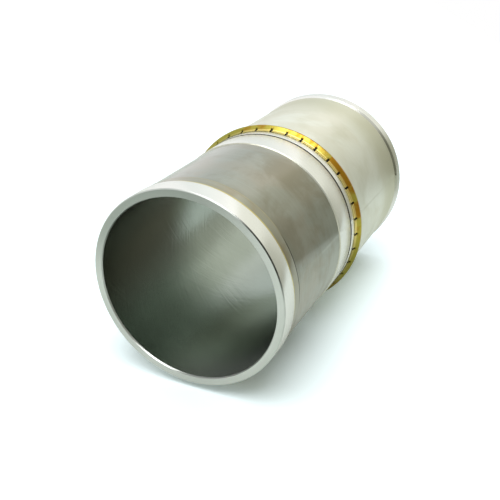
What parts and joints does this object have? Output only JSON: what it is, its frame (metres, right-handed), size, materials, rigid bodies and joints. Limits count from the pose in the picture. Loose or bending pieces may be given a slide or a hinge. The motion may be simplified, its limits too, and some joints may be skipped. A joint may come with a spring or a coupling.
{
  "type": "cylinder liner",
  "caption": "Wet cylinder liner with an upper fit band, a mid-height stop flange carrying a slotted brass seat ring, and a lower fit collar.",
  "frame": {"origin": "centre of the lower (crankcase) end face, on the cylinder axis", "axes": "+Z along the cylinder axis towards the upper (combustion) end; +X through the middle of one slot of the ring"},
  "size_m": [0.1432, 0.1432, 0.246],
  "materials": {
    "liner_iron": "turned and honed",
    "ring_brass": "pressed sheet"
  },
  "bodies": {
    "root": {"liner": "liner_iron", "seat_ring": "ring_brass"}
  },
  "joints": []
}
